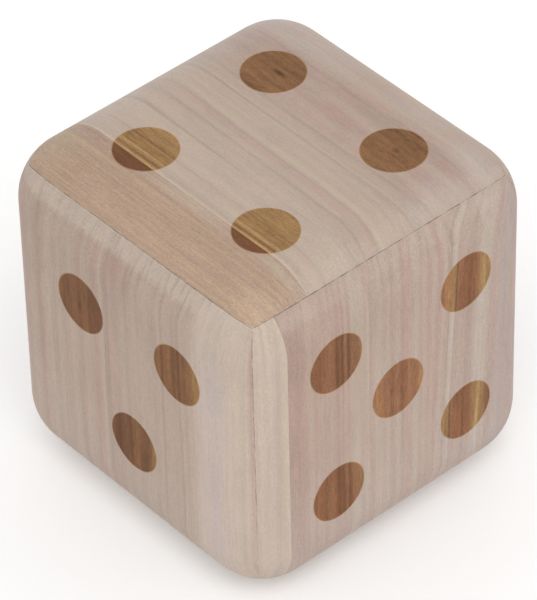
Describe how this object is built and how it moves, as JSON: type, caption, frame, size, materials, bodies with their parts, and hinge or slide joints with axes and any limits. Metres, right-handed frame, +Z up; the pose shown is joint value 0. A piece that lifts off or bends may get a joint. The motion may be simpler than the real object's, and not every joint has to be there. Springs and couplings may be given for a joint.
{
  "type": "wooden die cube",
  "caption": "Hollow wooden cube marked as a die, with mitred glued-up panels, rounded edges and flush round spots; stands on any face as a stool or side table.",
  "frame": {"origin": "middle of the underside, on the floor", "axes": "+Z up, -Y out of the face with three spots, +X out of the face with five spots"},
  "size_m": [0.35, 0.35, 0.35],
  "materials": {
    "washed_wood": "whitewashed, matte",
    "pinkish_wood": "whitewashed, matte",
    "tan_wood": "whitewashed, matte",
    "cream_wood": "whitewashed, matte",
    "grey_wood": "whitewashed, matte",
    "spot_wood": "clear finish, satin",
    "tongue_wood": "sawn, bare"
  },
  "bodies": {
    "root": {"top_board_1": "tan_wood", "top_board_2": "washed_wood", "top_board_3": "washed_wood", "top_board_4": "pinkish_wood", "top_board_5": "washed_wood", "bottom_board_1": "washed_wood", "bottom_board_2": "pinkish_wood", "bottom_board_3": "washed_wood", "bottom_board_4": "cream_wood", "front_board_1": "pinkish_wood", "front_board_2": "washed_wood", "front_board_3": "grey_wood", "front_board_4": "cream_wood", "right_board_1": "cream_wood", "right_board_2": "pinkish_wood", "right_board_3": "washed_wood", "right_board_4": "washed_wood", "right_board_5": "pinkish_wood", "back_board_1": "washed_wood", "back_board_2": "grey_wood", "back_board_3": "pinkish_wood", "back_board_4": "washed_wood", "left_board_1": "cream_wood", "left_board_2": "washed_wood", "left_board_3": "pinkish_wood", "left_board_4": "washed_wood", "left_board_5": "grey_wood", "spots_four": "spot_wood", "spots_one": "spot_wood", "spots_three": "spot_wood", "spots_five": "spot_wood", "spots_six": "spot_wood", "spots_two": "spot_wood", "tongue_top_right": "tongue_wood", "tongue_top_back": "tongue_wood", "tongue_top_left": "tongue_wood", "tongue_top_front": "tongue_wood", "tongue_bottom_right": "tongue_wood", "tongue_bottom_back": "tongue_wood", "tongue_bottom_left": "tongue_wood", "tongue_bottom_front": "tongue_wood", "tongue_back_right": "tongue_wood", "tongue_front_right": "tongue_wood", "tongue_front_left": "tongue_wood", "tongue_back_left": "tongue_wood"}
  },
  "joints": []
}
